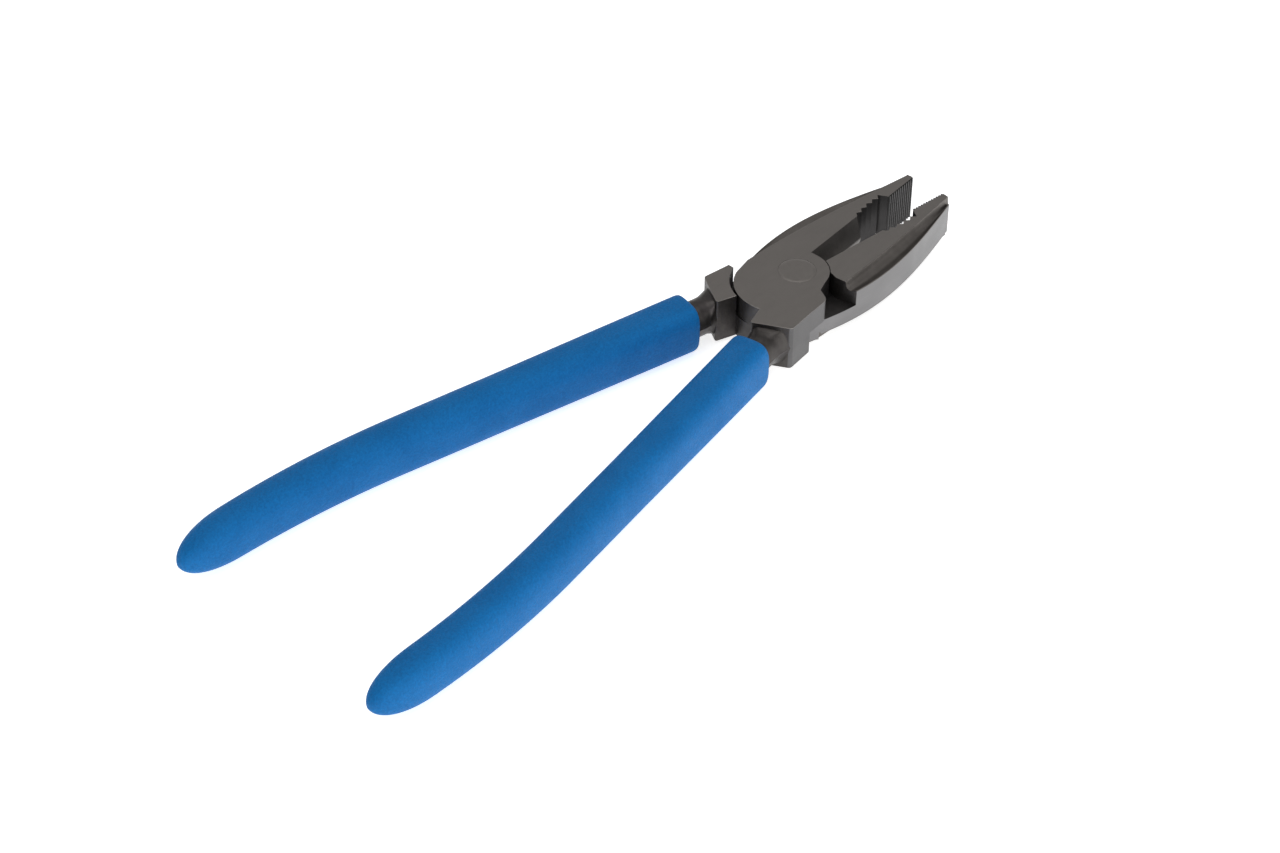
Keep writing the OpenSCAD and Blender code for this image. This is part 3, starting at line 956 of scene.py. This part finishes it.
def gripTree():
    tree, groupIn, groupOut = newGroup(
        "dippedGrip",
        [("Geometry", "NodeSocketGeometry", None), ("Sides", "NodeSocketInt", 48),
         ("Squareness", "NodeSocketFloat", 2.5), ("Material", "NodeSocketMaterial", None)],
        [("Geometry", "NodeSocketGeometry")], "GeometryNodeTree")
    take = groupIn.outputs

    def named(name, kind):
        node = addNode(tree, "GeometryNodeInputNamedAttribute", {"Name": name}, data_type=kind)
        return node.outputs["Attribute"]

    def store(geometry, name, kind, value):
        sockets = {"Geometry": geometry, "Name": name, "Value": value}
        node = addNode(tree, "GeometryNodeStoreNamedAttribute", sockets, data_type=kind, domain="POINT")
        return node.outputs["Geometry"]

    position = addNode(tree, "GeometryNodeInputPosition").outputs[0]
    path = addNode(tree, "GeometryNodeMeshToCurve", {"Mesh": take["Geometry"]})
    marked = store(path.outputs["Curve"], "centrePoint", "FLOAT_VECTOR", position)
    ring = addNode(tree, "GeometryNodeCurvePrimitiveCircle", mode="RADIUS")
    plug(tree, ring, {"Resolution": take["Sides"], "Radius": 0.001})
    index = addNode(tree, "GeometryNodeInputIndex").outputs[0]
    turnShare = mathNode(tree, "DIVIDE", mathNode(tree, "ADD", index, 0.5), take["Sides"])
    turnAngle = mathNode(tree, "MULTIPLY", turnShare, 2 * math.pi)
    profile = store(ring.outputs["Curve"], "around", "FLOAT", turnAngle)
    tube = addNode(tree, "GeometryNodeCurveToMesh", {"Curve": marked, "Profile Curve": profile,
                                                     "Fill Caps": True})
    around = named("around", "FLOAT")
    squareness = mathNode(tree, "ADD", take["Squareness"], named("boxier", "FLOAT"))
    power = mathNode(tree, "DIVIDE", 2.0, squareness)

    def squared(operation):
        value = mathNode(tree, operation, around)
        size = mathNode(tree, "POWER", mathNode(tree, "ABSOLUTE", value), power)
        return mathNode(tree, "MULTIPLY", size, mathNode(tree, "SIGN", value))

    sideways = mathNode(tree, "MULTIPLY", squared("COSINE"), named("halfWidth", "FLOAT"))
    upwards = mathNode(tree, "MULTIPLY", squared("SINE"), named("halfHeight", "FLOAT"))
    outward = addNode(tree, "ShaderNodeVectorMath", operation="SCALE")
    plug(tree, outward, {0: named("sideways", "FLOAT_VECTOR"), "Scale": sideways})
    rise = addNode(tree, "ShaderNodeCombineXYZ", {2: upwards})
    offset = addNode(tree, "ShaderNodeVectorMath", {0: outward.outputs[0], 1: rise.outputs[0]},
                     operation="ADD")
    place = addNode(tree, "ShaderNodeVectorMath", {0: named("centrePoint", "FLOAT_VECTOR"),
                                                   1: offset.outputs[0]}, operation="ADD")
    shaped = addNode(tree, "GeometryNodeSetPosition", {"Geometry": tube.outputs["Mesh"],
                                                       "Position": place.outputs[0]})
    smooth = addNode(tree, "GeometryNodeSetShadeSmooth", {"Geometry": shaped.outputs["Geometry"]})
    finishTree(tree, smooth.outputs["Geometry"], take["Material"], groupOut)
    return tree


def gripStations():
    # (x, half width, half height, extra squareness) from the socket's floor, round the lip, to the end
    front, back = -dip["start"] - dip["endInset"], -handle["length"] + dip["endInset"]
    gap = dip["bondGap"]

    def tangSize(x):
        return tangWidth(max(x, tangEnd)), handle["halfThickness"]

    def outer(x, share):
        u = (x - front) / (back - front)
        width, height = tangSize(x)
        side = threePoint(dip["sideThickness"], max(0, u))
        top = threePoint(dip["topThickness"], max(0, u))
        boxier = dip["frontSquareness"] * max(0.0, 1 - u / dip["boxyShare"]) ** 1.5 * share
        return x, width + side * share - dip["inside"], height + top * share - dip["inside"], boxier

    stations = [(tangEnd - distance, width, height, 0.0) for distance, width, height in dip["socketFloor"]]
    behind, mouth = dip["socketRun"]
    for x in np.linspace(tangEnd - behind, front - mouth, dip["socketStations"]):
        width, height = tangSize(x)
        stations.append((x, width + gap, height + gap, 0.0))
    for distance, share in dip["lip"]:
        stations.append(outer(front - distance, share))
    roundStart = back + dip["endRound"]
    for x in np.linspace(front - dip["lip"][-1][0], roundStart, dip["stations"])[1:]:
        stations.append(outer(x, 1.0))
    inner, root = dip["endPowers"]
    for a in np.linspace(0, 90, dip["endStations"])[1:]:
        x = back + dip["endRound"] * (1 - math.sin(math.radians(a)))
        x = max(x, back + 0.004 * dip["endRound"])
        d = (roundStart - x) / dip["endRound"]
        dome = (1 - d ** inner) ** (1 / root)
        station = outer(x, 1.0)
        stations.append((x, station[1] * dome, station[2] * dome, 0.0))
        if d > 0.995:
            break
    return stations


gripNodes = gripTree()
gripSleeves = {}
for half in ("a", "b"):
    points, widths, heights, sides, boxier = [], [], [], [], []
    for x, width, height, extra in gripStations():
        side = lineSide(x)
        centre = toFrame((x, -lineY(x), midHeight), half)
        beside = toFrame((x + side[0], -lineY(x) - side[1], midHeight), half)
        points.append(centre)
        sides.append((beside - centre).normalized())
        widths.append(width * mm)
        heights.append(height * mm)
        boxier.append(extra)
    source = newPiece("gripSource", points, [])
    source.data.edges.add(len(points) - 1)
    for i, edge in enumerate(source.data.edges):
        edge.vertices = (i, i + 1)
    for name, values in (("halfWidth", widths), ("halfHeight", heights), ("boxier", boxier)):
        source.data.attributes.new(name, "FLOAT", "POINT").data.foreach_set("value", values)
    across = source.data.attributes.new("sideways", "FLOAT_VECTOR", "POINT")
    across.data.foreach_set("vector", np.array(sides).ravel())
    modifier = source.modifiers.new("dippedGrip", "NODES")
    modifier.node_group = gripNodes
    setInputs(modifier, Sides=dip["sides"], Squareness=dip["squareness"], Material=blueDip)
    gripSleeves[half] = toPlainMesh(source, "gripSleeve" + half.upper())
print("grips dipped")


def buildRivet():
    # ground flush, with a shallow turned ring on each head
    top = head["thickness"]
    radius, edge = rivet["headRadius"], rivet["edgeBreak"]
    flank = [(radius - edge, 0.0), (radius - 0.3 * edge, -0.3 * edge), (radius, -edge),
             (rivet["shankRadius"], -rivet["headDepth"])]
    half = rivet["crown"] + flank
    levels = [(r, top + depth) for r, depth in half]
    levels += [(r, -depth) for r, depth in reversed(half)]
    rings = [[(x * mm, y * mm, z * mm) for x, y, z in ring] for ring in turnedRings(levels)]
    piece = skinPiece("rivetPin", rings, "ground")
    piece.data.materials.clear()
    piece.data.materials.append(steel["rivet"])
    piece.data.polygons.foreach_set("material_index", [0] * len(piece.data.polygons))
    crispShading(piece, 25)
    return piece


rivetPin = buildRivet()
print("rivet set")

for half in ("a", "b"):
    body = "half_" + half
    for piece in (headHalves[half], fineTeeth[half]):
        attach(piece, body)
    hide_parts(body)
    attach(gripSleeves[half], body)
    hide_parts("grip_" + half)
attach(rivetPin, "half_a")
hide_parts("rivet")
print("pieces ride on their bodies")


studio = {
    "floorColor": (0.93, 0.94, 0.95, 1),
    "floorGlow": 0.72,
    "floorRough": 0.35,
    "floorSize": 3.0,
    "floorDrop": 0.00005,  # below the grips
    "lights": [("overhead", (-0.05, 0.0, 1.0), 1.1, 4.8), ("besideCamera", (-0.35, -1.10, 0.40), 0.8, 4.6)],
    "lightAim": (-0.05, 0, 0),
    "skyHigh": (0.26, 0.26, 0.26, 1),
    "skyLow": (1.0, 1.0, 1.0, 1),
    "skyFade": (0.05, 0.65),
}


def buildFloor():
    z = cadBox[0][2] - studio["floorDrop"]
    size = studio["floorSize"]
    corners = [(-size, -size, z), (size, -size, z), (size, size, z), (-size, size, z)]
    piece = newPiece("floor", corners, [(0, 1, 2, 3)])
    material, tree, shader = newFinish("paleFloor")[:3]
    plug(tree, shader, {"Base Color": studio["floorColor"], "Roughness": studio["floorRough"],
                        "Emission Color": (1, 1, 1, 1), "Emission Strength": studio["floorGlow"]})
    piece.data.materials.append(material)
    return piece


def areaLight(name, place, aim, size, power):
    lamp = bpy.data.lights.new(name, "AREA")
    lamp.shape = "SQUARE"
    lamp.size = size
    lamp.energy = power
    holder = bpy.data.objects.new(name, lamp)
    holder.location = place
    holder.rotation_euler = (Vector(aim) - Vector(place)).to_track_quat("-Z", "Y").to_euler()
    scene.collection.objects.link(holder)
    return holder


def buildWorld():
    world = bpy.data.worlds.new("studio")
    world.use_nodes = True
    tree = world.node_tree
    direction = addNode(tree, "ShaderNodeTexCoord").outputs["Generated"]
    split = addNode(tree, "ShaderNodeSeparateXYZ", {0: direction})
    low, high = studio["skyFade"]
    fade = addNode(tree, "ShaderNodeMapRange", {"Value": split.outputs["Z"], "From Min": low,
                                                "From Max": high})
    sky = mixColor(tree, fade.outputs["Result"], studio["skyLow"], studio["skyHigh"])
    plug(tree, tree.nodes["Background"], {"Color": sky})
    scene.world = world


view = {
    "place": (-0.47741, -0.40366, 0.49373),
    "aim": (-0.06493, -0.00874, 0.0062),
    "lens": 89.28,
    "roll": 0.567,
}


def buildCamera():
    lensData = bpy.data.cameras.new("camera")
    lensData.lens = view["lens"]
    lensData.sensor_width = 36
    lensData.sensor_fit = "HORIZONTAL"
    lensData.clip_start = 0.01
    camera = bpy.data.objects.new("camera", lensData)
    turn = (Vector(view["aim"]) - Vector(view["place"])).to_track_quat("-Z", "Y").to_matrix()
    turn = turn @ Matrix.Rotation(math.radians(view["roll"]), 3, "Z")
    camera.matrix_world = Matrix.Translation(view["place"]) @ turn.to_4x4()
    scene.collection.objects.link(camera)
    scene.camera = camera


buildFloor()
buildWorld()
for name, place, size, power in studio["lights"]:
    areaLight(name, place, studio["lightAim"], size, power)
buildCamera()
scene.view_settings.view_transform = "Standard"
print("floor, light and camera set")
